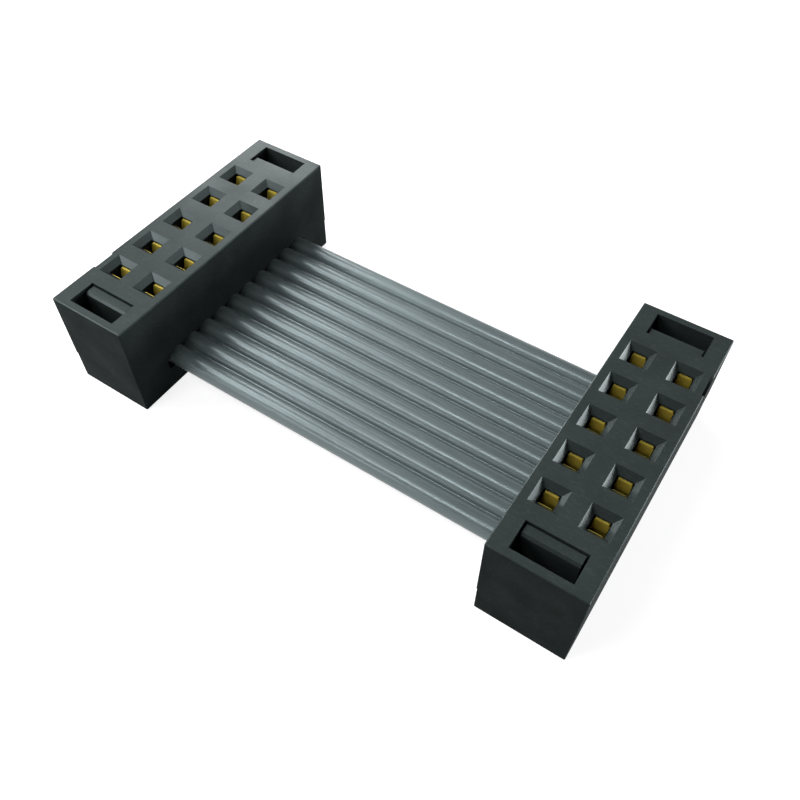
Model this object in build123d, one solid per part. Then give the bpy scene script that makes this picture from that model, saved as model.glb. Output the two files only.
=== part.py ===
from build123d import *
import os

# Short flat ribbon lead with a two-row socket pressed on each end.
# X runs along the ribbon, Y along the rows of contacts and Z up, out of the mating faces.
# The origin is on the ground under the middle of the ribbon. All sizes are in millimetres.

# Assembly
assembly_length = 25.4      # from the outer side of one socket to the outer side of the other
positions = 5               # contacts in each of the two rows
pitch = 2.0                 # between contacts, along a row and from row to row

# Ribbon
strand = 0.127              # one wire strand
strands_around = 6          # strands laid round the middle one
ridge_diameter = 0.96       # insulation over one conductor
web_thickness = 0.30        # insulation between two conductors
bore_clearance = 0.01       # insulation to conductor, all round
trim_recess = 0.04          # the cut ribbon ends lie this far inside the socket sides

# Stamped contact
stock = 0.15                # strip thickness
contact_span = 0.90         # across both beams at their root
contact_depth = 0.65        # width of each beam at its root
beam_tip_width = 0.60       # width of each beam at its tip
grip_gap = 0.32             # between the beams where they grip a pin
mouth_gap = 0.52            # between the beams at their flared tips
flare_height = 0.42         # from the grip to the tips
bend_radius = 0.35          # bends of the beams
wall_height = 1.0           # back wall that joins the beams
bridge_height = 0.35        # solid strip above the blade's slot
blade_width = 1.0           # across both tines of the blade
blade_slot = 0.25           # the slot squeezes the conductor to this width
slot_headroom = 0.05        # from the top of the ribbon to the round end of the slot
tine_reach = 0.44           # tines beyond the underside of the ribbon
tine_taper = 0.33           # pointed end of a tine
barb_height = 0.28          # retention barbs on the back wall
barb_lift = 0.45            # barbs above the lower edge of the back wall

# Socket body
housing_height = 5.1        # ground to mating face
seam_height = 1.62          # the middle of the ribbon, where body and cover meet
side_wall = 0.60            # outside a row of contacts
beam_room = 0.15            # for each beam to spread
contact_clearance = 0.075   # contact to cavity wall, along the ribbon
blade_clearance = 0.05      # blade to plastic, all round
funnel_mouth = 1.20         # square lead-in at the mating face
funnel_opening = 0.70       # square opening under the lead-in
funnel_depth = 0.25
lip_thickness = 0.08        # rim of the opening, under the lead-in
tip_clearance = 0.03        # beam tips to the rim above them
edge_radius = 0.06          # outer edges of body and cover
notch_width = 1.15          # pin-one mark, a shallow triangle on the outer side
notch_height = 1.0
notch_depth = 0.12

# Latch at each end of a socket
window_width = 2.5
window_length = 1.29
window_inset = 0.76         # from the last contact cavity to the window
end_wall = 0.35             # outside a window
latch_side_gap = 0.10       # latch arm to window, at each side
latch_inner_gap = 0.06      # latch head to the inner wall of the window
latch_head_length = 0.48
latch_head_height = 1.10
latch_drop = 0.10           # latch head below the mating face
latch_arm_thickness = 0.30
latch_chamfer = 0.10        # outer top edge of the head
ledge_clearance = 0.04      # latch arm to the face of the ledge
ledge_entry_height = 0.50   # sloped entry for the latch nose, under the ledge

# Cover
cover_setback = 0.02        # the cover's outer faces inside the body's
ribbon_clearance = 0.01     # ribbon to the grooves that hold it
trough_end_gap = 0.12       # beside the outermost ridges
rib_height = 0.20           # ribs of the cover between the ridges
pocket_depth = 0.15         # room under the tine tips

# Worked-out sizes
conductors = 2 * positions
ribbon_pitch = pitch / 2
ribbon_length = assembly_length - 2 * trim_recess
conductor_diameter = 3 * strand
ridge_radius = ridge_diameter / 2
ribbon_half_width = (conductors - 1) * ribbon_pitch / 2 + ridge_radius
ribbon_top = seam_height + ridge_radius
ribbon_bottom = seam_height - ridge_radius

cavity_width = contact_depth + 2 * contact_clearance
cavity_length = contact_span + 2 * beam_room
cavity_top = housing_height - funnel_depth - lip_thickness
housing_width = pitch + cavity_width + 2 * side_wall
row_length = (positions - 1) * pitch + cavity_length
window_start = row_length / 2 + window_inset
window_end = window_start + window_length
housing_length = 2 * (window_end + end_wall)
socket_x = (assembly_length - housing_width) / 2

slot_top = ribbon_top + slot_headroom + blade_slot / 2
tine_tip = ribbon_bottom - tine_reach
bridge_top = slot_top + bridge_height
wall_top = slot_top + wall_height
beam_tip = cavity_top - tip_clearance
grip_height = beam_tip - flare_height
blade_x = -(contact_depth - stock) / 2      # middle of the strip, from the pin axis
blade_y = -ribbon_pitch / 2                 # the blade stands over its conductor

latch_top = housing_height - latch_drop
ledge_height = latch_top - latch_head_height
latch_inner = window_start + latch_inner_gap
latch_outer = latch_inner + latch_head_length
ledge_face = latch_outer - latch_arm_thickness - ledge_clearance
trough_half = ribbon_half_width + trough_end_gap


def centred(count, step):
    """Places of evenly spaced things on both sides of zero."""
    return [(i - (count - 1) / 2) * step for i in range(count)]


def block(x0, x1, y0, y1, z0, z1):
    """Box between two corners."""
    box = Box(x1 - x0, y1 - y0, z1 - z0)
    return Pos((x0 + x1) / 2, (y0 + y1) / 2, (z0 + z1) / 2) * box


def rod(diameter, y, length):
    """Round bar along the ribbon, at the height of its middle."""
    return Pos(0, y, seam_height) * Rot(0, 90, 0) * Cylinder(diameter / 2, length)


def turned(part, row):
    """The second row holds the same contact as the first, turned half round."""
    return part if row < 0 else Rot(0, 0, 180) * part


def at_pins(part):
    """Copies of a piece at every contact of one socket."""
    copies = []
    for row in (-1, 1):
        for y in centred(positions, pitch):
            copies.append(Pos(row * pitch / 2, y, 0) * turned(part, row))
    return copies


def socket(part, side):
    """A piece of a socket where that socket stands, the right one turned half round."""
    return Pos(side * socket_x, 0, 0) * turned(part, side)


def blade_places():
    """Middle of each blade of both sockets, in plan."""
    places = []
    for side in (-1, 1):
        for row in (-1, 1):
            for y in centred(positions, pitch):
                x_in_socket = row * (pitch / 2 - blade_x)
                y_in_socket = y - row * blade_y
                places.append((side * socket_x - side * x_in_socket, -side * y_in_socket))
    return places


# Stamped contact, standing on its pin axis

def blade_outline():
    """Flat fork with a round-ended slot, open downwards between two pointed tines."""
    half = blade_width / 2
    slot = blade_slot / 2
    point = (half + slot) / 2
    taper_top = tine_tip + tine_taper
    arc_start = slot_top - slot
    fork = Polyline(
        (blade_y - slot, arc_start),
        (blade_y - slot, taper_top),
        (blade_y - point, tine_tip),
        (blade_y - half, taper_top),
        (blade_y - half, bridge_top),
        (blade_y + half, bridge_top),
        (blade_y + half, taper_top),
        (blade_y + point, tine_tip),
        (blade_y + slot, taper_top),
        (blade_y + slot, arc_start),
    )
    arc = ThreePointArc((blade_y + slot, arc_start), (blade_y, slot_top), (blade_y - slot, arc_start))
    return make_face(fork + arc)


def wall_outline():
    """Back wall with a barb on each side that bites into the cavity wall."""
    half = contact_span / 2
    barb = cavity_length / 2
    barb_low = slot_top + barb_lift
    barb_tip = barb_low + barb_height / 3
    barb_high = barb_low + barb_height
    right = [
        (half, slot_top),
        (half, barb_low),
        (barb, barb_low),
        (barb, barb_tip),
        (half, barb_high),
        (half, wall_top),
    ]
    left = [(-y, z) for y, z in reversed(right)]
    return make_face(Polyline(*right, *left, close=True))


def beam_section():
    """One beam seen from its side: straight root, lean to the grip, flared tip."""
    root = (contact_span - stock) / 2
    grip = (grip_gap + stock) / 2
    tip = (mouth_gap + stock) / 2
    line = [(root, slot_top), (root, wall_top), (grip, grip_height), (tip, beam_tip)]
    inner = [(y - stock / 2, z) for y, z in line]
    outer = [(y + stock / 2, z) for y, z in line]
    sides = FilletPolyline(*inner, radius=bend_radius) + FilletPolyline(*outer, radius=bend_radius)
    ends = Line(inner[0], outer[0]) + Line(inner[-1], outer[-1])
    return make_face(sides + ends)


def beam_front():
    """The beams seen along the row: full width at the root, narrow at the grip and tip."""
    root = contact_depth / 2
    tip = beam_tip_width / 2
    outline = Polyline(
        (-root, slot_top),
        (root, slot_top),
        (root, wall_top),
        (tip, grip_height),
        (tip, beam_tip),
        (-tip, beam_tip),
        (-tip, grip_height),
        (-root, wall_top),
        close=True,
    )
    face = make_face(outline)
    return fillet(face.vertices().group_by(Axis.Y)[-1], stock / 2)


def contact():
    """Forked blade, back wall and two facing beams, folded from one strip."""
    strip_plane = Plane.YZ.offset(blade_x - stock / 2)
    strip = extrude(strip_plane * (blade_outline() + wall_outline()), stock)
    beam = extrude(Plane.YZ.offset(-contact_depth / 2) * beam_section(), contact_depth)
    beam &= extrude(Plane.XZ * beam_front(), contact_span, both=True)
    return strip + beam + mirror(beam, Plane.XZ)


def contact_room():
    """Everything that the body leaves open for one contact."""
    mouth = Pos(0, 0, housing_height) * Rectangle(funnel_mouth, funnel_mouth)
    neck = Pos(0, 0, housing_height - funnel_depth) * Rectangle(funnel_opening, funnel_opening)
    funnel = loft([mouth, neck], ruled=True)
    half = funnel_opening / 2
    opening = block(-half, half, -half, half, cavity_top, housing_height - funnel_depth)
    wide = cavity_width / 2
    long = cavity_length / 2
    cavity = block(-wide, wide, -long, long, seam_height, cavity_top)
    near = blade_x - stock / 2 - blade_clearance
    far = blade_x + stock / 2 + blade_clearance
    start = blade_y - blade_width / 2 - blade_clearance
    blade_cut = block(near, far, start, 0, seam_height, bridge_top + blade_clearance)
    return funnel + opening + cavity + blade_cut


# Moulded pieces of one socket, standing on the middle of the socket

def outer_block(setback, z0, z1, rounded_end):
    """Outer form with rounded upright edges and one rounded end, 0 for the lower, -1 for the upper."""
    half_x = housing_width / 2 - setback
    half_y = housing_length / 2 - setback
    form = block(-half_x, half_x, -half_y, half_y, z0, z1)
    end_edges = form.faces().sort_by(Axis.Z)[rounded_end].edges()
    return fillet(form.edges().filter_by(Axis.Z) + end_edges, edge_radius)


def ribbon_room(web_low, web_high):
    """Grooves for the ridges and a flat channel for the webs, right through the socket."""
    groove = ridge_diameter + 2 * ribbon_clearance
    grooves = [rod(groove, y, housing_width) for y in centred(conductors, ribbon_pitch)]
    half = housing_width / 2
    return block(-half, half, -trough_half, trough_half, web_low, web_high) + grooves


def latch_room(end):
    """Window, ledge and sloped entry for the latch at one end of a socket."""
    half = window_width / 2
    window = block(-half, half, window_start, window_end, ledge_height, housing_height)
    passage = block(-half, half, ledge_face, window_end, seam_height, ledge_height)
    entry_top = seam_height + ledge_entry_height
    entry_face = make_face(Polyline(
        (latch_inner, seam_height),
        (ledge_face, seam_height),
        (ledge_face, entry_top),
        close=True,
    ))
    entry = extrude(Plane.YZ * entry_face, half, both=True)
    room = window + passage + entry
    return room if end > 0 else mirror(room, Plane.XZ)


def notch():
    """Pin-one triangle at the top edge of the outer side."""
    middle = -(positions - 1) * pitch / 2
    face = make_face(Polyline(
        (middle - notch_width / 2, housing_height),
        (middle + notch_width / 2, housing_height),
        (middle, housing_height - notch_height),
        close=True,
    ))
    return extrude(Plane.YZ.offset(-housing_width / 2) * face, notch_depth)


def socket_body():
    """Upper moulding: contact cavities, latch windows and the upper half of the ribbon grooves."""
    body = outer_block(0, seam_height, housing_height, -1)
    body -= at_pins(contact_room())
    body -= ribbon_room(seam_height, seam_height + web_thickness / 2 + ribbon_clearance)
    body -= [latch_room(-1), latch_room(1)]
    return body - notch()


def latch(end):
    """Arm that rises through the end window, with its nose on the ledge."""
    half = window_width / 2 - latch_side_gap
    inner_face = latch_outer - latch_arm_thickness
    side = make_face(Polyline(
        (inner_face, ribbon_bottom),
        (inner_face, ledge_height),
        (latch_inner, ledge_height),
        (latch_inner, latch_top),
        (latch_outer - latch_chamfer, latch_top),
        (latch_outer, latch_top - latch_chamfer),
        (latch_outer, ribbon_bottom),
        close=True,
    ))
    arm = extrude(Plane.YZ * side, half, both=True)
    return arm if end > 0 else mirror(arm, Plane.XZ)


def cover():
    """Lower moulding: ribbon trough with locating ribs, tine pockets and two latches."""
    form = outer_block(cover_setback, 0, seam_height, 0)
    floor = ribbon_bottom - ribbon_clearance
    half = housing_width / 2
    last_ridge = (conductors - 1) * ribbon_pitch / 2
    form -= ribbon_room(floor + rib_height, seam_height)
    form -= block(-half, half, last_ridge, trough_half, floor, seam_height)
    form -= block(-half, half, -trough_half, -last_ridge, floor, seam_height)
    reach = stock / 2 + blade_clearance
    span = blade_width / 2 + blade_clearance
    pocket = block(
        blade_x - reach, blade_x + reach,
        blade_y - span, blade_y + span,
        tine_tip - pocket_depth, seam_height,
    )
    form -= at_pins(pocket)
    return form + [latch(-1), latch(1)]


# Ribbon

def insulation():
    """Ten round ridges joined by webs, bored for the conductors and slit by the tines."""
    middles = centred(conductors, ribbon_pitch)
    web_half = middles[-1]
    web_low = seam_height - web_thickness / 2
    web_high = seam_height + web_thickness / 2
    half = ribbon_length / 2
    body = block(-half, half, -web_half, web_half, web_low, web_high)
    body += [rod(ridge_diameter, y, ribbon_length) for y in middles]
    bore = conductor_diameter + 2 * bore_clearance
    body -= [rod(bore, y, ribbon_length) for y in middles]
    return body - [tines(x, y) for x, y in blade_places()]


def tines(x, y):
    """Space that the two tines of one blade take where they pass the ribbon."""
    near = x - stock / 2
    far = x + stock / 2
    slot = blade_slot / 2
    outside = blade_width / 2
    pair = block(near, far, y + slot, y + outside, ribbon_bottom, ribbon_top)
    return pair + block(near, far, y - outside, y - slot, ribbon_bottom, ribbon_top)


def conductor(y):
    """Stranded wire, squeezed flat in the slot of one blade at each end."""
    around = PolarLocations(strand, strands_around)
    lobes = [place * Circle(strand / 2) for place in around]
    section = Circle(strand) + lobes
    start = Plane(origin=(-ribbon_length / 2, y, seam_height), x_dir=(0, 1, 0), z_dir=(1, 0, 0))
    wire = extrude(start * section, ribbon_length)
    own_blades = [place for place in blade_places() if abs(place[1] - y) < ribbon_pitch / 2]
    return wire - [tines(*place) for place in own_blades]


def save(name, part):
    """Write one piece as its own file."""
    solids = part.solids()
    assert len(solids) == 1, f"{name} has {len(solids)} solids"
    export_step(solids[0], f"parts/{name}.step")


def main():
    os.makedirs("parts", exist_ok=True)
    body = socket_body()
    base = cover()
    pin = contact()
    for side, side_name in ((-1, "left"), (1, "right")):
        save(f"{side_name}_socket_body", socket(body, side))
        save(f"{side_name}_cover", socket(base, side))
        places = [(row, i) for row in "ab" for i in range(positions)]
        for (row, i), copy in zip(places, at_pins(pin)):
            save(f"{side_name}_contact_{row}{i + 1}", socket(copy, side))
    save("ribbon_insulation", insulation())
    for i, y in enumerate(centred(conductors, ribbon_pitch)):
        save(f"conductor_{i + 1:02d}", conductor(y))


main()
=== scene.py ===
import math

import bpy
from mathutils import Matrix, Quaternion, Vector


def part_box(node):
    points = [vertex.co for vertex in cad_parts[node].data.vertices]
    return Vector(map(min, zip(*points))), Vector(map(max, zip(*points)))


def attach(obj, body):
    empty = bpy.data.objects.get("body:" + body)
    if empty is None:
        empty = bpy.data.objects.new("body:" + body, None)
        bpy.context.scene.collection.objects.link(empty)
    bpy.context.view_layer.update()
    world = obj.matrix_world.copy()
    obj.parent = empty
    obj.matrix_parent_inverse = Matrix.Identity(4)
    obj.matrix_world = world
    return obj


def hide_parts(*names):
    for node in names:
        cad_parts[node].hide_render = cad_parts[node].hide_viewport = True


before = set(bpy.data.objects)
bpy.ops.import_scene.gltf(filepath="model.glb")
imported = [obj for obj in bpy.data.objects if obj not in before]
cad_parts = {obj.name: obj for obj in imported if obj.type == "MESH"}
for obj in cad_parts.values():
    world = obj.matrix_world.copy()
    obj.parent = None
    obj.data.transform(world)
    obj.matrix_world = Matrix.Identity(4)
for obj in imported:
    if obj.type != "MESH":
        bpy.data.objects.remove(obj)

bl_info = {
    "name": "Ribbon lead",
    "version": (1, 0, 0),
    "blender": (4, 5, 0),
    "location": "3D View > Sidebar > Ribbon lead",
    "description": "Ribbon, wires, finishes and studio for a short flat lead with two sockets",
    "category": "Add Mesh",
}

MM = 0.001
NODES = sorted(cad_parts)
HOUSINGS = [name for name in NODES if name.endswith(("_socket_body", "_cover"))]
CONTACTS = [name for name in NODES if "_contact_" in name]
CONDUCTORS = [name for name in NODES if name.startswith("conductor_")]
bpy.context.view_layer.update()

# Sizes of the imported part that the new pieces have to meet
RIBBON_LOW, RIBBON_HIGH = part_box("ribbon_insulation")
WIRE_LOW, WIRE_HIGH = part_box(CONDUCTORS[0])
SOCKET_LOW, SOCKET_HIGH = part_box("right_socket_body")
PIN_LOW, PIN_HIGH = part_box("right_contact_a1")
RIDGE_DIAMETER = RIBBON_HIGH.z - RIBBON_LOW.z
RIDGE_PITCH = (RIBBON_HIGH.y - RIBBON_LOW.y - RIDGE_DIAMETER) / (len(CONDUCTORS) - 1)
RIBBON_HEIGHT = (RIBBON_HIGH.z + RIBBON_LOW.z) / 2
RIBBON_LENGTH = RIBBON_HIGH.x - RIBBON_LOW.x
STRAND_DIAMETER = (WIRE_HIGH.z - WIRE_LOW.z) / 3
SOCKET_PLACE = (SOCKET_LOW.x + SOCKET_HIGH.x) / 2
STRIP_THICKNESS = 0.15 * MM
BLADE_OFFSET = PIN_HIGH.x - STRIP_THICKNESS / 2 - SOCKET_PLACE


# Properties

def length(name, description, default):
    """A length property, in metres."""
    return bpy.props.FloatProperty(
        name=name, description=description, default=default, unit="LENGTH", precision=6
    )


def factor(name, description, default):
    """A plain share from 0 to 1."""
    return bpy.props.FloatProperty(
        name=name, description=description, default=default, min=0, max=1, subtype="FACTOR"
    )


def count(name, description, default):
    """A whole number of at least 2."""
    return bpy.props.IntProperty(name=name, description=description, default=default, min=2)


def colour(name, description, default):
    """A colour, as linear red, green and blue."""
    return bpy.props.FloatVectorProperty(
        name=name, description=description, default=default, size=3, min=0, max=1, subtype="COLOR"
    )


def place(name, description, default):
    """A point in the part's frame, in metres."""
    return bpy.props.FloatVectorProperty(
        name=name, description=description, default=default, size=3, unit="LENGTH", subtype="XYZ"
    )


class RibbonSettings(bpy.types.PropertyGroup):
    ridges: count("Ridges", "Conductors side by side in the ribbon", len(CONDUCTORS))
    ridge_pitch: length("Ridge pitch", "From one ridge to the next", RIDGE_PITCH)
    ridge_diameter: length("Ridge diameter", "Insulation over one conductor", RIDGE_DIAMETER)
    web_thickness: length("Web thickness", "Insulation between two ridges", 0.30 * MM)
    bore_clearance: length("Bore clearance", "Insulation to conductor, all round", 0.01 * MM)
    length: length("Length", "From one cut end to the other", RIBBON_LENGTH)
    height: length("Height", "Middle of the ribbon above the ground", RIBBON_HEIGHT)
    ridge_steps: count("Ridge steps", "Flats round the upper half of one ridge", 36)
    bore_steps: count("Bore steps", "Flats round one bore", 32)
    colour: colour("Colour", "Grey of the insulation", (0.086, 0.107, 0.110))
    roughness: factor("Roughness", "Roughness of the extruded skin", 0.31)
    gloss: factor("Gloss", "Specular level of the extruded skin", 1.0)
    tint: colour("Tint", "Cool cast of the ribbon's sheen", (0.80, 0.97, 1.0))


class WireSettings(bpy.types.PropertyGroup):
    strand_diameter: length("Strand diameter", "One drawn strand", STRAND_DIAMETER)
    strands_around: count("Strands around", "Strands laid round the middle one", 6)
    strand_gap: length("Strand gap", "Between two strands that lie side by side", 0.002 * MM)
    lay_length: length("Lay length", "Length of one full twist", 5.0 * MM)
    twist_steps: count("Twist steps", "Points along one full twist", 14)
    strand_steps: count("Strand steps", "Flats round one strand", 10)
    squeeze_fade: length("Squeeze fade", "From a blade to the full width again", 0.35 * MM)
    colour: colour("Colour", "Tinned copper", (0.62, 0.61, 0.58))


class BladeSettings(bpy.types.PropertyGroup):
    strip: length("Strip", "Thickness of the contact strip", STRIP_THICKNESS)
    width: length("Width", "Across both tines of a blade", 1.0 * MM)
    slot: length("Slot", "Gap that squeezes the conductor", 0.25 * MM)
    socket_place: length("Socket place", "Middle of a socket from the middle of the lead", SOCKET_PLACE)
    offset: length("Offset", "A row of blades from the middle of its socket", BLADE_OFFSET)


class FinishSettings(bpy.types.PropertyGroup):
    plastic: colour("Plastic", "Charcoal of sockets and covers", (0.035, 0.045, 0.044))
    fibre: colour("Fibre", "Faint glass fibres near the skin", (0.054, 0.067, 0.066))
    top_roughness: factor("Top roughness", "Roughness of the mating faces", 0.42)
    top_gloss: factor("Top gloss", "Specular level of the mating faces", 0.16)
    slope_roughness: factor("Slope roughness", "Roughness of the sloped lead-ins", 0.20)
    slope_gloss: factor("Slope gloss", "Specular level of the sloped lead-ins", 0.40)
    side_roughness: factor("Side roughness", "Roughness of the upright faces", 0.70)
    side_gloss: factor("Side gloss", "Specular level of the upright faces", 0.02)
    # Painted shade: share of black mixed into the sloped and upright faces of the plastic, standing in for
    # the light they miss
    shade: factor("Shade", "How much darker the sloped and upright faces are", 0.32)
    tint: colour("Tint", "Cool cast of the plastic's sheen", (0.80, 0.97, 1.0))
    gold: colour("Gold", "Plated beams", (0.58, 0.46, 0.07))
    worn_gold: colour("Worn gold", "Beams where the plating is rubbed", (0.42, 0.33, 0.05))
    tin: colour("Tin", "Plated blades", (0.58, 0.57, 0.54))
    worn_tin: colour("Worn tin", "Blades where the plating is rubbed", (0.36, 0.36, 0.35))
    plating: factor("Plating", "How metallic the contacts look", 0.6)
    gold_start: length("Gold start", "Height where tin turns to gold", 2.75 * MM)
    gold_blend: length("Gold blend", "Height over which it turns", 0.15 * MM)


class StudioSettings(bpy.types.PropertyGroup):
    eye: place("Eye", "Where the camera stands", (13.502 * MM, -19.876 * MM, 30.226 * MM))
    aim: place("Aim", "What the middle of the picture shows", (0.689 * MM, 0.009 * MM, 0))
    roll: bpy.props.FloatProperty(
        name="Roll", description="Turn of the camera about its line of sight",
        default=math.radians(0.65), subtype="ANGLE",
    )
    lens: bpy.props.FloatProperty(
        name="Lens", description="Focal length for a sensor 36 mm wide",
        default=36.79, min=1, subtype="DISTANCE_CAMERA",
    )
    floor_size: length("Floor size", "Side of the square floor", 1.2)
    floor_colour: colour("Floor", "Pale floor", (0.42, 0.42, 0.42))
    floor_patch: colour("Floor patch", "Faint darker patches of the floor", (0.30, 0.30, 0.30))
    floor_lift: factor("Floor lift", "White added to the floor where it is looked at", 0.84)
    ambient: factor("Ambient", "Strength of the even light all round", 0.05)


class RibbonLead(bpy.types.PropertyGroup):
    ribbon: bpy.props.PointerProperty(
        name="Ribbon", description="Sizes and finish of the insulation", type=RibbonSettings
    )
    wire: bpy.props.PointerProperty(
        name="Wire", description="Sizes and finish of the stranded conductors", type=WireSettings
    )
    blade: bpy.props.PointerProperty(
        name="Blade", description="Where the blades pass the ribbon", type=BladeSettings
    )
    finish: bpy.props.PointerProperty(
        name="Finish", description="Finishes of sockets and contacts", type=FinishSettings
    )
    studio: bpy.props.PointerProperty(
        name="Studio", description="Camera, floor and light", type=StudioSettings
    )


# Building node trees

def plug(tree, socket, value):
    """Link an output to a socket, or set the socket to a value."""
    if isinstance(value, bpy.types.NodeSocket):
        tree.links.new(value, socket)
    else:
        socket.default_value = value


def add(tree, kind, inputs=None, **settings):
    """A new node with its settings and its inputs, which are named or numbered."""
    node = tree.nodes.new(kind)
    for key, value in settings.items():
        setattr(node, key, value)
    for key, value in (inputs or {}).items():
        plug(tree, node.inputs[key], value)
    return node


def calc(tree, operation, first, second=0.0, third=0.0):
    """The result of one sum."""
    values = {0: first, 1: second, 2: third}
    return add(tree, "ShaderNodeMath", values, operation=operation).outputs[0]


def choose(tree, test, if_false, if_true):
    """One of two numbers, by a test that is 0 or 1."""
    span = calc(tree, "SUBTRACT", if_true, if_false)
    return calc(tree, "MULTIPLY_ADD", test, span, if_false)


def vector(tree, x=0.0, y=0.0, z=0.0):
    """A vector from its three parts."""
    return add(tree, "ShaderNodeCombineXYZ", {0: x, 1: y, 2: z}).outputs[0]


def group_inputs(tree, kinds):
    """Named inputs of a geometry tree, as a dict of the sockets that give them."""
    tree.interface.new_socket("Geometry", in_out="OUTPUT", socket_type="NodeSocketGeometry")
    for name, kind in kinds.items():
        tree.interface.new_socket(name, in_out="INPUT", socket_type=f"NodeSocket{kind}")
    start = tree.nodes.new("NodeGroupInput")
    return {name: start.outputs[name] for name in kinds}


def grow(name, tree, values):
    """The mesh that a geometry tree makes from these values, as a new plain object."""
    seed = bpy.data.meshes.new(name)
    thing = bpy.data.objects.new(name, seed)
    bpy.context.scene.collection.objects.link(thing)
    modifier = thing.modifiers.new("Shape", "NODES")
    modifier.node_group = tree
    for item in tree.interface.items_tree:
        if item.in_out == "INPUT":
            modifier[item.identifier] = values[item.name]
    bpy.context.view_layer.update()
    evaluated = thing.evaluated_get(bpy.context.evaluated_depsgraph_get())
    shape = bpy.data.meshes.new_from_object(evaluated)
    shape.name = name
    thing.modifiers.clear()
    thing.data = shape
    bpy.data.meshes.remove(seed)
    if not shape.polygons:
        raise RuntimeError(f"{name} came out empty")
    return thing


def sharpen(tree, geometry, angle):
    """Smooth shading, with the edges sharper than an angle kept crisp."""
    smooth = add(tree, "GeometryNodeSetShadeSmooth", {"Geometry": geometry, "Shade Smooth": True})
    bend = add(tree, "GeometryNodeInputMeshEdgeAngle").outputs["Unsigned Angle"]
    crisp = add(
        tree, "GeometryNodeSetShadeSmooth",
        {
            "Geometry": smooth.outputs[0],
            "Selection": calc(tree, "GREATER_THAN", bend, angle),
            "Shade Smooth": False,
        },
        domain="EDGE",
    )
    return crisp.outputs[0]


def finish_tree(tree, geometry, material):
    """Realize what is left, set the material and end the tree."""
    real = add(tree, "GeometryNodeRealizeInstances", {"Geometry": geometry}).outputs[0]
    painted = add(tree, "GeometryNodeSetMaterial", {"Geometry": real, "Material": material})
    end = tree.nodes.new("NodeGroupOutput")
    tree.links.new(painted.outputs[0], end.inputs["Geometry"])


# Ribbon insulation

RIBBON_INPUTS = {
    "Ridges": "Int",
    "Ridge pitch": "Float",
    "Ridge radius": "Float",
    "Web half": "Float",
    "Bore radius": "Float",
    "Length": "Float",
    "Height": "Float",
    "Ridge steps": "Int",
    "Bore steps": "Int",
    "Strip": "Float",
    "Blade width": "Float",
    "Slot": "Float",
    "Socket place": "Float",
    "Blade offset": "Float",
    "Material": "Material",
}
CRISP_EDGE = math.radians(35)
WELD = 0.0001 * MM


def groove_circle(tree, given):
    """Radius of the circle that touches two ridges and their web, and the angle where it meets a ridge."""
    radius = given["Ridge radius"]
    web = given["Web half"]
    half_pitch = calc(tree, "DIVIDE", given["Ridge pitch"], 2.0)
    over = calc(tree, "SUBTRACT", calc(tree, "POWER", half_pitch, 2.0), calc(tree, "POWER", radius, 2.0))
    over = calc(tree, "ADD", over, calc(tree, "POWER", web, 2.0))
    groove = calc(tree, "DIVIDE", over, calc(tree, "MULTIPLY", calc(tree, "SUBTRACT", radius, web), 2.0))
    reach = calc(tree, "ADD", radius, groove)
    meeting = calc(tree, "ARCSINE", calc(tree, "DIVIDE", half_pitch, reach))
    return groove, meeting


def groove_point(tree, given, angle, groove, meeting):
    """Y and Z, from the middle of a ridge, of a point in the groove beside it."""
    beyond = calc(tree, "SUBTRACT", calc(tree, "ABSOLUTE", angle), meeting)
    left = calc(tree, "SUBTRACT", math.pi / 2, meeting)
    swing = calc(tree, "SUBTRACT", 1.0, calc(tree, "DIVIDE", beyond, left))
    swing = calc(tree, "MULTIPLY", meeting, swing)
    half_pitch = calc(tree, "DIVIDE", given["Ridge pitch"], 2.0)
    across = calc(tree, "SUBTRACT", half_pitch, calc(tree, "MULTIPLY", groove, calc(tree, "SINE", swing)))
    drop = calc(tree, "MULTIPLY", groove, calc(tree, "COSINE", swing))
    y = calc(tree, "MULTIPLY", calc(tree, "SIGN", angle), across)
    z = calc(tree, "SUBTRACT", calc(tree, "ADD", given["Web half"], groove), drop)
    return y, z


def in_groove(tree, last, ridge, angle, meeting):
    """1 for a point that lies in a groove, and 0 for one on a ridge or on the ribbon's own two sides."""
    steep = calc(tree, "GREATER_THAN", calc(tree, "ABSOLUTE", angle), meeting)
    first_side = calc(
        tree, "MULTIPLY",
        calc(tree, "LESS_THAN", ridge, 0.5),
        calc(tree, "LESS_THAN", angle, 0.0),
    )
    last_side = calc(
        tree, "MULTIPLY",
        calc(tree, "GREATER_THAN", ridge, calc(tree, "SUBTRACT", last, 0.5)),
        calc(tree, "GREATER_THAN", angle, 0.0),
    )
    inner = calc(tree, "SUBTRACT", 1.0, calc(tree, "ADD", first_side, last_side))
    return calc(tree, "MULTIPLY", steep, inner)


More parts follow.
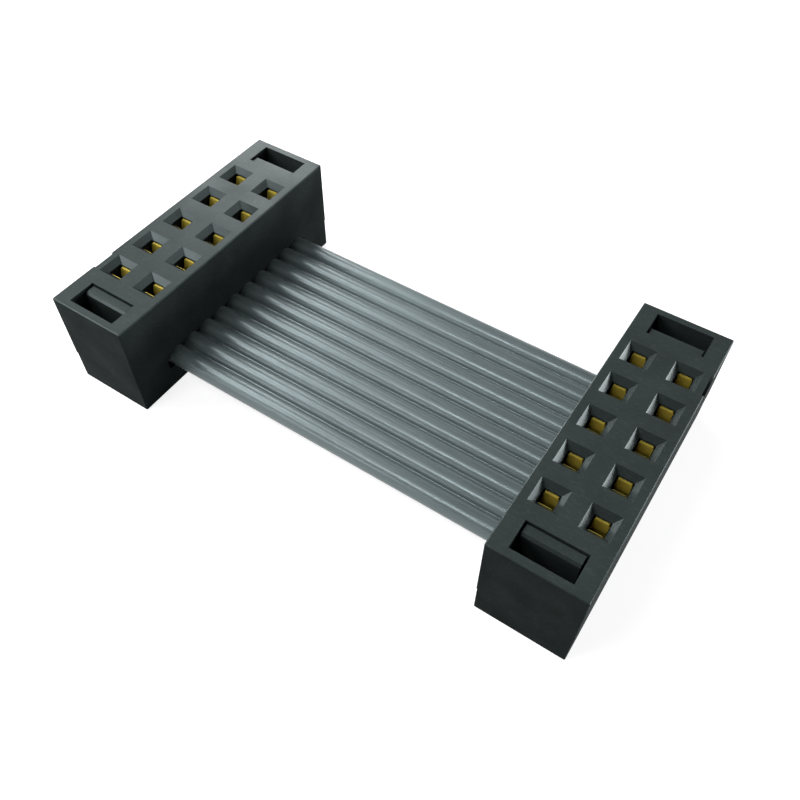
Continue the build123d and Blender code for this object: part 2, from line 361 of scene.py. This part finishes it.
def ribbon_outline(tree, given):
    """Closed outline of the ribbon's section: round ridges with a small round groove between them."""
    steps = given["Ridge steps"]
    radius = given["Ridge radius"]
    half_way = calc(tree, "MULTIPLY", given["Ridges"], steps)
    ring = add(
        tree, "GeometryNodeCurvePrimitiveCircle",
        {"Resolution": calc(tree, "MULTIPLY", half_way, 2.0), "Radius": radius},
    )

    # the first half of the points is the upper side, the other half is the same turned half round
    index = add(tree, "GeometryNodeInputIndex").outputs[0]
    lower = calc(tree, "GREATER_THAN", index, calc(tree, "SUBTRACT", half_way, 0.5))
    place_on_side = calc(tree, "SUBTRACT", index, calc(tree, "MULTIPLY", lower, half_way))
    turn = choose(tree, lower, 1.0, -1.0)
    ridge = calc(tree, "FLOOR", calc(tree, "DIVIDE", calc(tree, "ADD", place_on_side, 0.5), steps))
    step = calc(tree, "SUBTRACT", place_on_side, calc(tree, "MULTIPLY", ridge, steps))
    last = calc(tree, "SUBTRACT", given["Ridges"], 1.0)
    from_middle = calc(tree, "SUBTRACT", ridge, calc(tree, "DIVIDE", last, 2.0))
    middle = calc(tree, "MULTIPLY", from_middle, given["Ridge pitch"])
    share = calc(tree, "DIVIDE", step, steps)
    angle = calc(tree, "MULTIPLY", calc(tree, "SUBTRACT", share, 0.5), math.pi)

    groove, meeting = groove_circle(tree, given)
    groove_y, groove_z = groove_point(tree, given, angle, groove, meeting)
    ridge_y = calc(tree, "MULTIPLY", calc(tree, "SINE", angle), radius)
    ridge_z = calc(tree, "MULTIPLY", calc(tree, "COSINE", angle), radius)
    test = in_groove(tree, last, ridge, angle, meeting)
    y = calc(tree, "ADD", middle, choose(tree, test, ridge_y, groove_y))
    z = choose(tree, test, ridge_z, groove_z)
    point = vector(tree, calc(tree, "MULTIPLY", y, turn), calc(tree, "MULTIPLY", z, turn))
    placed = add(
        tree, "GeometryNodeSetPosition", {"Geometry": ring.outputs["Curve"], "Position": point}
    )
    return placed.outputs[0]


def ribbon_bores(tree, given):
    """One circle for each conductor, in the plane of the section."""
    last = calc(tree, "SUBTRACT", given["Ridges"], 1.0)
    start = calc(tree, "MULTIPLY", calc(tree, "DIVIDE", last, -2.0), given["Ridge pitch"])
    places = add(
        tree, "GeometryNodeMeshLine",
        {
            "Count": given["Ridges"],
            "Start Location": vector(tree, start),
            "Offset": vector(tree, given["Ridge pitch"]),
        },
    )
    bore = add(
        tree, "GeometryNodeCurvePrimitiveCircle",
        {"Resolution": given["Bore steps"], "Radius": given["Bore radius"]},
    )
    bores = add(
        tree, "GeometryNodeInstanceOnPoints",
        {"Points": places.outputs["Mesh"], "Instance": bore.outputs["Curve"]},
    )
    return add(tree, "GeometryNodeRealizeInstances", {"Geometry": bores.outputs[0]}).outputs[0]


def blade_place(tree, given, place_index, row_sign):
    """X of the blade that meets a conductor. Blades of neighbouring conductors stand in opposite rows."""
    side = choose(tree, place_index, -1.0, 1.0)
    socket = calc(tree, "MULTIPLY", side, given["Socket place"])
    return calc(tree, "SUBTRACT", socket, calc(tree, "MULTIPLY", row_sign, given["Blade offset"]))


def tine_cutters(tree, given):
    """A block for each tine of each blade, where it passes the ribbon."""
    pitch = given["Ridge pitch"]
    in_row = calc(tree, "DIVIDE", given["Ridges"], 2.0)
    total = calc(tree, "MULTIPLY", in_row, 8.0)
    points = add(tree, "GeometryNodeMeshLine", {"Count": total, "Offset": (0, 0, 0)})
    index = add(tree, "GeometryNodeInputIndex").outputs[0]
    tine = calc(tree, "MODULO", index, 2.0)
    pair = calc(tree, "FLOOR", calc(tree, "DIVIDE", index, 2.0))
    column = calc(tree, "MODULO", pair, in_row)
    line = calc(tree, "FLOOR", calc(tree, "DIVIDE", calc(tree, "ADD", pair, 0.5), in_row))
    row_sign = choose(tree, calc(tree, "MODULO", line, 2.0), 1.0, -1.0)
    x = blade_place(tree, given, calc(tree, "FLOOR", calc(tree, "DIVIDE", line, 2.0)), row_sign)
    last = calc(tree, "SUBTRACT", in_row, 1.0)
    from_middle = calc(tree, "SUBTRACT", column, calc(tree, "DIVIDE", last, 2.0))
    y = calc(tree, "MULTIPLY", from_middle, calc(tree, "MULTIPLY", pitch, 2.0))
    y = calc(tree, "SUBTRACT", y, calc(tree, "MULTIPLY", row_sign, calc(tree, "DIVIDE", pitch, 2.0)))
    tine_middle = calc(tree, "DIVIDE", calc(tree, "ADD", given["Blade width"], given["Slot"]), 4.0)
    y = calc(tree, "ADD", y, calc(tree, "MULTIPLY", choose(tree, tine, -1.0, 1.0), tine_middle))
    spread = add(
        tree, "GeometryNodeSetPosition",
        {"Geometry": points.outputs["Mesh"], "Position": vector(tree, x, y, given["Height"])},
    )
    tine_width = calc(tree, "DIVIDE", calc(tree, "SUBTRACT", given["Blade width"], given["Slot"]), 2.0)
    tine_height = calc(tree, "MULTIPLY", given["Ridge radius"], 3.0)
    block = add(
        tree, "GeometryNodeMeshCube", {"Size": vector(tree, given["Strip"], tine_width, tine_height)}
    )
    blocks = add(
        tree, "GeometryNodeInstanceOnPoints",
        {"Points": spread.outputs[0], "Instance": block.outputs["Mesh"]},
    )
    return add(tree, "GeometryNodeRealizeInstances", {"Geometry": blocks.outputs[0]}).outputs[0]


def ribbon_tree():
    """The whole insulation: section, extrusion, bores and the slits that the blades cut."""
    tree = bpy.data.node_groups.new("Ribbon insulation", "GeometryNodeTree")
    given = group_inputs(tree, RIBBON_INPUTS)
    section = add(tree, "GeometryNodeJoinGeometry")
    for curve in (ribbon_outline(tree, given), ribbon_bores(tree, given)):
        tree.links.new(curve, section.inputs[0])
    end_face = add(tree, "GeometryNodeFillCurve", {"Curve": section.outputs[0]}, mode="TRIANGLES").outputs[0]
    body = add(
        tree, "GeometryNodeExtrudeMesh",
        {"Mesh": end_face, "Offset": (0, 0, 1), "Offset Scale": given["Length"], "Individual": False},
    )
    other_end = add(tree, "GeometryNodeFlipFaces", {"Mesh": end_face}).outputs[0]
    whole = add(tree, "GeometryNodeJoinGeometry")
    for mesh in (body.outputs["Mesh"], other_end):
        tree.links.new(mesh, whole.inputs[0])
    welded = add(tree, "GeometryNodeMergeByDistance", {"Geometry": whole.outputs[0], "Distance": WELD})
    start = calc(tree, "DIVIDE", given["Length"], -2.0)
    laid = add(
        tree, "GeometryNodeTransform",
        {
            "Geometry": welded.outputs[0],
            "Translation": vector(tree, start, 0.0, given["Height"]),
            "Rotation": (math.pi / 2, 0, math.pi / 2),
        },
    )
    slit = add(
        tree, "GeometryNodeMeshBoolean",
        {"Mesh 1": laid.outputs[0], "Mesh 2": tine_cutters(tree, given)},
        operation="DIFFERENCE", solver="EXACT",
    )
    finish_tree(tree, sharpen(tree, slit.outputs["Mesh"], CRISP_EDGE), given["Material"])
    return tree


# Stranded conductors

WIRE_INPUTS = {
    "Wires": "Int",
    "Ridge pitch": "Float",
    "Length": "Float",
    "Height": "Float",
    "Strand diameter": "Float",
    "Strand radius": "Float",
    "Strands around": "Int",
    "Lay length": "Float",
    "Points": "Int",
    "Strand steps": "Int",
    "Strip": "Float",
    "Slot": "Float",
    "Fade": "Float",
    "Socket place": "Float",
    "Blade offset": "Float",
    "Material": "Material",
}


def strand_line(tree, given, off_axis):
    """One strand's line along X: straight, or a helix that far off the axis."""
    half = calc(tree, "DIVIDE", given["Length"], 2.0)
    line = add(
        tree, "GeometryNodeCurvePrimitiveLine",
        {"Start": vector(tree, calc(tree, "MULTIPLY", half, -1.0)), "End": vector(tree, half)},
    )
    points = add(
        tree, "GeometryNodeResampleCurve", {"Curve": line.outputs[0], "Count": given["Points"]}
    )
    spot = add(tree, "GeometryNodeInputPosition").outputs[0]
    x = add(tree, "ShaderNodeSeparateXYZ", {0: spot}).outputs[0]
    angle = calc(tree, "MULTIPLY", calc(tree, "DIVIDE", x, given["Lay length"]), math.tau)
    y = calc(tree, "MULTIPLY", calc(tree, "COSINE", angle), off_axis)
    z = calc(tree, "MULTIPLY", calc(tree, "SINE", angle), off_axis)
    moved = add(
        tree, "GeometryNodeSetPosition",
        {"Geometry": points.outputs[0], "Position": vector(tree, x, y, z)},
    )
    return moved.outputs[0]


def strand_bundle(tree, given):
    """The middle strand with the others laid round it."""
    turns = add(tree, "GeometryNodeMeshLine", {"Count": given["Strands around"], "Offset": (0, 0, 0)})
    index = add(tree, "GeometryNodeInputIndex").outputs[0]
    turn = calc(tree, "MULTIPLY", calc(tree, "DIVIDE", index, given["Strands around"]), math.tau)
    around = add(
        tree, "GeometryNodeInstanceOnPoints",
        {
            "Points": turns.outputs["Mesh"],
            "Instance": strand_line(tree, given, given["Strand diameter"]),
            "Rotation": vector(tree, turn),
        },
    )
    bundle = add(tree, "GeometryNodeJoinGeometry")
    for curve in (around.outputs[0], strand_line(tree, given, 0.0)):
        tree.links.new(curve, bundle.inputs[0])
    real = add(tree, "GeometryNodeRealizeInstances", {"Geometry": bundle.outputs[0]})
    section = add(
        tree, "GeometryNodeCurvePrimitiveCircle",
        {"Resolution": given["Strand steps"], "Radius": given["Strand radius"]},
    )
    tube = add(
        tree, "GeometryNodeCurveToMesh",
        {"Curve": real.outputs[0], "Profile Curve": section.outputs["Curve"], "Fill Caps": True},
    )
    return tube.outputs[0]


def squeezed(tree, given, wires):
    """Narrow each conductor where the slot of a blade grips it."""
    spot = add(tree, "GeometryNodeInputPosition").outputs[0]
    parts = add(tree, "ShaderNodeSeparateXYZ", {0: spot}).outputs
    last = calc(tree, "SUBTRACT", given["Wires"], 1.0)
    lowest = calc(tree, "MULTIPLY", calc(tree, "DIVIDE", last, -2.0), given["Ridge pitch"])
    place_in_row = calc(tree, "DIVIDE", calc(tree, "SUBTRACT", parts[1], lowest), given["Ridge pitch"])
    wire = calc(tree, "ROUND", place_in_row)
    axis_y = calc(tree, "MULTIPLY_ADD", wire, given["Ridge pitch"], lowest)
    row_sign = choose(tree, calc(tree, "MODULO", wire, 2.0), 1.0, -1.0)
    at_right = calc(tree, "GREATER_THAN", parts[0], 0.0)
    blade = blade_place(tree, given, at_right, row_sign)
    away = calc(tree, "ABSOLUTE", calc(tree, "SUBTRACT", parts[0], blade))
    grip = calc(tree, "DIVIDE", given["Slot"], calc(tree, "MULTIPLY", given["Strand diameter"], 3.0))
    near = calc(tree, "DIVIDE", given["Strip"], 2.0)
    narrow = add(
        tree, "ShaderNodeMapRange",
        {
            "Value": away,
            "From Min": near,
            "From Max": calc(tree, "ADD", near, given["Fade"]),
            "To Min": grip,
            "To Max": 1.0,
        },
        interpolation_type="SMOOTHSTEP",
    ).outputs[0]
    y = calc(tree, "MULTIPLY_ADD", calc(tree, "SUBTRACT", parts[1], axis_y), narrow, axis_y)
    moved = add(
        tree, "GeometryNodeSetPosition",
        {"Geometry": wires, "Position": vector(tree, parts[0], y, parts[2])},
    )
    return moved.outputs[0]


def wire_tree():
    """All conductors of the ribbon, each of twisted strands."""
    tree = bpy.data.node_groups.new("Stranded conductors", "GeometryNodeTree")
    given = group_inputs(tree, WIRE_INPUTS)
    last = calc(tree, "SUBTRACT", given["Wires"], 1.0)
    start = calc(tree, "MULTIPLY", calc(tree, "DIVIDE", last, -2.0), given["Ridge pitch"])
    places = add(
        tree, "GeometryNodeMeshLine",
        {
            "Count": given["Wires"],
            "Start Location": vector(tree, 0.0, start, given["Height"]),
            "Offset": vector(tree, 0.0, given["Ridge pitch"]),
        },
    )
    wires = add(
        tree, "GeometryNodeInstanceOnPoints",
        {"Points": places.outputs["Mesh"], "Instance": strand_bundle(tree, given)},
    )
    real = add(tree, "GeometryNodeRealizeInstances", {"Geometry": wires.outputs[0]}).outputs[0]
    shaped = sharpen(tree, squeezed(tree, given, real), math.radians(60))
    finish_tree(tree, shaped, given["Material"])
    return tree


# Materials

def millimetres(tree):
    """Object coordinates counted in millimetres."""
    coordinates = add(tree, "ShaderNodeTexCoord").outputs["Object"]
    return add(
        tree, "ShaderNodeVectorMath", {0: coordinates, "Scale": 1 / MM}, operation="SCALE"
    ).outputs[0]


def stretched(tree, coordinates, x=1.0, y=1.0, z=1.0):
    """Coordinates squeezed along an axis, so that a pattern draws out along it."""
    return add(tree, "ShaderNodeMapping", {"Vector": coordinates, "Scale": (x, y, z)}).outputs[0]


def noise(tree, coordinates, scale, detail=3.0, roughness=0.5):
    """Soft noise from 0 to 1, with about that many waves in a millimetre."""
    values = {"Vector": coordinates, "Scale": scale, "Detail": detail, "Roughness": roughness}
    return add(tree, "ShaderNodeTexNoise", values).outputs[0]


def between(tree, value, low, high, from_low=0.3, from_high=0.7):
    """A value brought to the range from low to high, and held there."""
    values = {"Value": value, "From Min": from_low, "From Max": from_high, "To Min": low, "To Max": high}
    return add(tree, "ShaderNodeMapRange", values).outputs[0]


def blend(tree, share, first, second):
    """A mix of two colours."""
    node = add(tree, "ShaderNodeMix", {"Factor": share}, data_type="RGBA")
    for name, value in (("A", first), ("B", second)):
        socket = [s for s in node.inputs if s.name == name and s.type == "RGBA"][0]
        plug(tree, socket, opaque(value))
    return [s for s in node.outputs if s.type == "RGBA"][0]


def opaque(value):
    """A colour with full opacity, or the socket as it is."""
    if isinstance(value, bpy.types.NodeSocket):
        return value
    return (*value, 1.0)


def bump(tree, height, distance, strength, below=None):
    """Small relief, on top of another if one is given."""
    values = {"Height": height, "Distance": distance, "Strength": strength}
    if below is not None:
        values["Normal"] = below
    return add(tree, "ShaderNodeBump", values).outputs[0]


def material(name):
    """A new node material with its tree and its main shader."""
    made = bpy.data.materials.new(name)
    made.use_nodes = True
    tree = made.node_tree
    tree.nodes.clear()
    shader = tree.nodes.new("ShaderNodeBsdfPrincipled")
    end = tree.nodes.new("ShaderNodeOutputMaterial")
    tree.links.new(shader.outputs[0], end.inputs["Surface"])
    return made, tree, shader


# Upward part of a face's normal from which it counts as sloped, and as level
SLOPED_RISE = (0.3, 0.5)
LEVEL_RISE = (0.85, 0.95)
BLACK = (0.0, 0.0, 0.0)


def moulded_plastic(finish):
    """Charcoal glass-filled plastic with satin mating faces, smoother lead-ins and matt sides, with painted
    shade that darkens the sloped and upright faces.
    """
    made, tree, shader = material("Moulded charcoal plastic")
    spot = millimetres(tree)
    cloud = noise(tree, spot, 0.55)
    fibres = noise(tree, stretched(tree, spot, 0.35, 1.0, 1.0), 14.0, 2.0)
    tone = blend(tree, between(tree, fibres, 0.0, 0.75, 0.52, 0.78), finish.plastic, finish.fibre)
    shade = blend(tree, between(tree, cloud, 0.0, 0.28), tone, BLACK)
    facing = add(tree, "ShaderNodeNewGeometry").outputs["True Normal"]
    rise = add(tree, "ShaderNodeSeparateXYZ", {0: facing}).outputs[2]
    sloped = between(tree, rise, 0.0, 1.0, *SLOPED_RISE)
    level = between(tree, rise, 0.0, 1.0, *LEVEL_RISE)
    # Painted shade: sloped and upright faces are darkened towards black by finish.shade, and level faces
    # keep their tone
    painted_shade = choose(tree, level, finish.shade, 0.0)
    plug(tree, shader.inputs["Base Color"], blend(tree, painted_shade, shade, BLACK))
    rough = choose(tree, sloped, finish.side_roughness, finish.slope_roughness)
    rough = choose(tree, level, rough, finish.top_roughness)
    rough = calc(tree, "ADD", rough, between(tree, cloud, -0.05, 0.07))
    plug(tree, shader.inputs["Roughness"], rough)
    gloss = choose(tree, sloped, finish.side_gloss, finish.slope_gloss)
    gloss = choose(tree, level, gloss, finish.top_gloss)
    plug(tree, shader.inputs["Specular IOR Level"], gloss)
    shader.inputs["Specular Tint"].default_value = opaque(finish.tint)
    skin = bump(tree, noise(tree, spot, 22.0, 2.0), 0.004 * MM, 0.35)
    plug(tree, shader.inputs["Normal"], bump(tree, noise(tree, spot, 1.1, 1.0), 0.010 * MM, 0.25, skin))
    return made


def plated_strip(finish):
    """Rolled contact strip: gold on the beams, tin on the blades."""
    made, tree, shader = material("Plated contact strip")
    spot = millimetres(tree)
    height = add(tree, "ShaderNodeSeparateXYZ", {0: spot}).outputs[2]
    edge = finish.gold_start / MM
    soft = finish.gold_blend / MM
    gilded = between(tree, height, 0.0, 1.0, edge - soft, edge + soft)
    grain = noise(tree, stretched(tree, spot, 1.0, 1.0, 0.12), 24.0, 2.0)
    worn = noise(tree, spot, 3.0)
    gold = blend(tree, between(tree, worn, 0.0, 0.35), finish.gold, finish.worn_gold)
    tin = blend(tree, between(tree, worn, 0.0, 0.4), finish.tin, finish.worn_tin)
    plug(tree, shader.inputs["Base Color"], blend(tree, gilded, tin, gold))
    shader.inputs["Metallic"].default_value = finish.plating
    plug(tree, shader.inputs["Roughness"], between(tree, grain, 0.40, 0.55))
    plug(tree, shader.inputs["Normal"], bump(tree, grain, 0.002 * MM, 0.3))
    return made


def extruded_vinyl(ribbon):
    """Glossy grey insulation with faint drawn lines along the ribbon."""
    made, tree, shader = material("Extruded grey insulation")
    spot = millimetres(tree)
    lines = noise(tree, stretched(tree, spot, 0.015, 1.0, 1.0), 9.0, 3.0)
    fine = noise(tree, stretched(tree, spot, 0.03, 1.0, 1.0), 30.0, 2.0)
    cloud = noise(tree, spot, 0.5)
    dark = tuple(0.78 * c for c in ribbon.colour)
    tone = blend(tree, between(tree, lines, 0.0, 0.55), ribbon.colour, dark)
    light = tuple(min(1.0, 1.18 * c) for c in ribbon.colour)
    plug(tree, shader.inputs["Base Color"], blend(tree, between(tree, cloud, 0.0, 0.5), tone, light))
    rough = ribbon.roughness
    plug(tree, shader.inputs["Roughness"], between(tree, fine, rough - 0.05, rough + 0.08))
    shader.inputs["Specular IOR Level"].default_value = ribbon.gloss
    shader.inputs["Specular Tint"].default_value = opaque(ribbon.tint)
    drawn = bump(tree, lines, 0.006 * MM, 0.12)
    plug(tree, shader.inputs["Normal"], bump(tree, fine, 0.002 * MM, 0.3, drawn))
    return made


def tinned_copper(wire):
    """Drawn strands, tinned, a little dull."""
    made, tree, shader = material("Tinned copper strand")
    spot = millimetres(tree)
    worn = noise(tree, spot, 6.0)
    dark = tuple(0.6 * c for c in wire.colour)
    plug(tree, shader.inputs["Base Color"], blend(tree, between(tree, worn, 0.0, 0.6), wire.colour, dark))
    shader.inputs["Metallic"].default_value = 1.0
    plug(tree, shader.inputs["Roughness"], between(tree, worn, 0.28, 0.42))
    plug(tree, shader.inputs["Normal"], bump(tree, noise(tree, spot, 40.0, 1.0), 0.001 * MM, 0.4))
    return made


def paint(names, finish):
    """Give CAD pieces one finish."""
    for name in names:
        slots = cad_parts[name].data.materials
        slots.clear()
        slots.append(finish)


# Studio

# Upward part of the direction where the mirrored backdrop starts to fade, and where it has faded
BACKDROP_RISE = (0.25, 0.45)
LAMPS = {
    # name: direction (azimuth from +X, elevation) in degrees, distance, width and height in mm, power in W
    "left": (202, 45, 90, 40, 26, 0.0350),
    "left_low": (190, 32, 90, 40, 26, 0.0430),
    "left_front": (222, 26, 90, 24, 14, 0.0060),
    "front_low": (246, 24, 90, 30, 12, 0.0090),
    "right": (38, 38, 90, 40, 30, 0.0070),
    "right_low": (38, 9, 90, 40, 20, 0.0220),
    "right_side": (4, 4, 90, 30, 10, 0.0520),
    "back_high": (126, 46, 90, 24, 20, 0.0060),
    "back_close": (140, 24, 38, 16, 14, 0.0063),
    "overhead": (173, 60, 90, 26, 14, 0.0150),
    "overhead_front": (246, 63, 90, 20, 20, 0.0180),
}


def lamp(name, azimuth, elevation, distance, width, height, power):
    """A soft box that looks at the middle of the part."""
    light = bpy.data.lights.new(name, "AREA")
    light.shape = "RECTANGLE"
    light.size = width * MM
    light.size_y = height * MM
    light.energy = power
    box = bpy.data.objects.new(name, light)
    bpy.context.scene.collection.objects.link(box)
    around = math.radians(azimuth)
    up = math.radians(elevation)
    way = Vector((math.cos(around) * math.cos(up), math.sin(around) * math.cos(up), math.sin(up)))
    middle = Vector((0, 0, RIBBON_HEIGHT))
    box.location = middle + way * distance * MM
    box.rotation_mode = "QUATERNION"
    box.rotation_quaternion = (-way).to_track_quat("-Z", "Y")
    return box


def seen_white(tree):
    """1 for rays that look, mirror or look through, and 0 for rays that carry light."""
    rays = add(tree, "ShaderNodeLightPath").outputs
    looks = calc(tree, "MAXIMUM", rays["Is Camera Ray"], rays["Is Glossy Ray"])
    return calc(tree, "MAXIMUM", looks, rays["Is Transmission Ray"])


def pale_floor(studio):
    """Pale floor that looks white, keeps a soft shadow and is clear from below."""
    made = bpy.data.materials.new("Pale floor")
    made.use_nodes = True
    tree = made.node_tree
    tree.nodes.clear()
    spot = millimetres(tree)
    cloud = noise(tree, spot, 0.02)
    pale = blend(tree, between(tree, cloud, 0.0, 0.06), studio.floor_colour, studio.floor_patch)
    matt = add(tree, "ShaderNodeBsdfDiffuse", {"Color": pale}).outputs[0]
    lift = calc(tree, "MULTIPLY", seen_white(tree), studio.floor_lift)
    glow = add(tree, "ShaderNodeEmission", {"Color": (1, 1, 1, 1), "Strength": lift}).outputs[0]
    top = add(tree, "ShaderNodeAddShader", {0: matt, 1: glow}).outputs[0]
    clear = add(tree, "ShaderNodeBsdfTransparent").outputs[0]
    below = add(tree, "ShaderNodeNewGeometry").outputs["Backfacing"]
    both = add(tree, "ShaderNodeMixShader", {0: below, 1: top, 2: clear}).outputs[0]
    end = tree.nodes.new("ShaderNodeOutputMaterial")
    tree.links.new(both, end.inputs["Surface"])
    return made


def lay_floor(studio):
    """A square floor under the part."""
    half = studio.floor_size / 2
    corners = [(-half, -half, 0), (half, -half, 0), (half, half, 0), (-half, half, 0)]
    shape = bpy.data.meshes.new("floor")
    shape.from_pydata(corners, [], [(0, 1, 2, 3)])
    shape.materials.append(pale_floor(studio))
    floor = bpy.data.objects.new("floor", shape)
    bpy.context.scene.collection.objects.link(floor)
    return floor


def light_world(studio):
    """An even light on the part. It looks white, and is mirrored as white with a dim room overhead."""
    world = bpy.data.worlds.new("Studio")
    world.use_nodes = True
    tree = world.node_tree
    tree.nodes.clear()
    way = add(tree, "ShaderNodeTexCoord").outputs["Generated"]
    rise = add(tree, "ShaderNodeSeparateXYZ", {0: way}).outputs[2]
    backdrop = between(tree, rise, 1.0, studio.ambient, *BACKDROP_RISE)
    strength = choose(tree, seen_white(tree), studio.ambient, backdrop)
    looked_at = add(tree, "ShaderNodeLightPath").outputs["Is Camera Ray"]
    strength = choose(tree, looked_at, strength, 1.0)
    glow = add(tree, "ShaderNodeBackground", {"Color": (1, 1, 1, 1), "Strength": strength}).outputs[0]
    end = tree.nodes.new("ShaderNodeOutputWorld")
    tree.links.new(glow, end.inputs["Surface"])
    bpy.context.scene.world = world


def stand_camera(studio):
    """The camera at the photograph's viewing angle."""
    lens = bpy.data.cameras.new("camera")
    lens.sensor_width = 36
    lens.lens = studio.lens
    lens.clip_start = 1 * MM
    lens.clip_end = 10
    camera = bpy.data.objects.new("camera", lens)
    bpy.context.scene.collection.objects.link(camera)
    eye = Vector(studio.eye)
    straight = (Vector(studio.aim) - eye).to_track_quat("-Z", "Y")
    camera.location = eye
    camera.rotation_mode = "QUATERNION"
    camera.rotation_quaternion = straight @ Quaternion((0, 0, 1), studio.roll)
    bpy.context.scene.camera = camera


# Operators

class RIBBON_OT_housings(bpy.types.Operator):
    """Finish both socket bodies and their covers in moulded plastic"""

    bl_idname = "ribbon_lead.housings"
    bl_label = "Sockets and covers"

    def execute(self, context):
        paint(HOUSINGS, moulded_plastic(context.scene.ribbon_lead.finish))
        return {"FINISHED"}


class RIBBON_OT_contacts(bpy.types.Operator):
    """Finish the contacts in gold and tin plate"""

    bl_idname = "ribbon_lead.contacts"
    bl_label = "Contacts"

    def execute(self, context):
        paint(CONTACTS, plated_strip(context.scene.ribbon_lead.finish))
        return {"FINISHED"}


class RIBBON_OT_insulation(bpy.types.Operator):
    """Make the ribbed insulation, bored for its conductors and slit by the blades"""

    bl_idname = "ribbon_lead.insulation"
    bl_label = "Ribbon insulation"

    def execute(self, context):
        ribbon = context.scene.ribbon_lead.ribbon
        blade = context.scene.ribbon_lead.blade
        wire = context.scene.ribbon_lead.wire
        values = {
            "Ridges": ribbon.ridges,
            "Ridge pitch": ribbon.ridge_pitch,
            "Ridge radius": ribbon.ridge_diameter / 2,
            "Web half": ribbon.web_thickness / 2,
            "Bore radius": 1.5 * wire.strand_diameter + ribbon.bore_clearance,
            "Length": ribbon.length,
            "Height": ribbon.height,
            "Ridge steps": ribbon.ridge_steps,
            "Bore steps": ribbon.bore_steps,
            "Strip": blade.strip,
            "Blade width": blade.width,
            "Slot": blade.slot,
            "Socket place": blade.socket_place,
            "Blade offset": blade.offset,
            "Material": extruded_vinyl(ribbon),
        }
        skin = grow("ribbon_skin", ribbon_tree(), values)
        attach(skin, "root")
        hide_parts("ribbon_insulation")
        return {"FINISHED"}


class RIBBON_OT_wires(bpy.types.Operator):
    """Make the stranded conductors inside the ribbon"""

    bl_idname = "ribbon_lead.wires"
    bl_label = "Stranded conductors"

    def execute(self, context):
        ribbon = context.scene.ribbon_lead.ribbon
        blade = context.scene.ribbon_lead.blade
        wire = context.scene.ribbon_lead.wire
        twists = ribbon.length / wire.lay_length
        values = {
            "Wires": ribbon.ridges,
            "Ridge pitch": ribbon.ridge_pitch,
            "Length": ribbon.length,
            "Height": ribbon.height,
            "Strand diameter": wire.strand_diameter,
            "Strand radius": (wire.strand_diameter - wire.strand_gap) / 2,
            "Strands around": wire.strands_around,
            "Lay length": wire.lay_length,
            "Points": math.ceil(twists * wire.twist_steps) + 1,
            "Strand steps": wire.strand_steps,
            "Strip": blade.strip,
            "Slot": blade.slot,
            "Fade": wire.squeeze_fade,
            "Socket place": blade.socket_place,
            "Blade offset": blade.offset,
            "Material": tinned_copper(wire),
        }
        strands = grow("wire_strands", wire_tree(), values)
        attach(strands, "root")
        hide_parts(*CONDUCTORS)
        return {"FINISHED"}


class RIBBON_OT_studio(bpy.types.Operator):
    """Set up the floor, the light and the camera"""

    bl_idname = "ribbon_lead.studio"
    bl_label = "Studio"

    def execute(self, context):
        studio = context.scene.ribbon_lead.studio
        lay_floor(studio)
        light_world(studio)
        for name, sizes in LAMPS.items():
            lamp(name, *sizes)
        stand_camera(studio)
        context.scene.view_settings.view_transform = "Standard"
        return {"FINISHED"}


class RIBBON_PT_panel(bpy.types.Panel):
    bl_idname = "RIBBON_PT_panel"
    bl_label = "Ribbon lead"
    bl_space_type = "VIEW_3D"
    bl_region_type = "UI"
    bl_category = "Ribbon lead"

    def draw(self, context):
        for operator in OPERATORS:
            self.layout.operator(operator.bl_idname)
        lead = context.scene.ribbon_lead
        for group in (lead.ribbon, lead.wire, lead.blade, lead.finish, lead.studio):
            box = self.layout.box()
            for name in group.bl_rna.properties.keys():
                if name not in ("rna_type", "name"):
                    box.prop(group, name)


GROUPS = (RibbonSettings, WireSettings, BladeSettings, FinishSettings, StudioSettings, RibbonLead)
OPERATORS = (
    RIBBON_OT_housings,
    RIBBON_OT_contacts,
    RIBBON_OT_insulation,
    RIBBON_OT_wires,
    RIBBON_OT_studio,
)


def register():
    for group in (*GROUPS, *OPERATORS, RIBBON_PT_panel):
        bpy.utils.register_class(group)
    bpy.types.Scene.ribbon_lead = bpy.props.PointerProperty(
        name="Ribbon lead", description="Sizes, finishes and studio of the lead", type=RibbonLead
    )


def unregister():
    del bpy.types.Scene.ribbon_lead
    for group in reversed((*GROUPS, *OPERATORS, RIBBON_PT_panel)):
        bpy.utils.unregister_class(group)


def main():
    register()
    bpy.ops.ribbon_lead.housings()
    bpy.ops.ribbon_lead.contacts()
    bpy.ops.ribbon_lead.insulation()
    bpy.ops.ribbon_lead.wires()
    bpy.ops.ribbon_lead.studio()


if __name__ == "__main__":
    main()
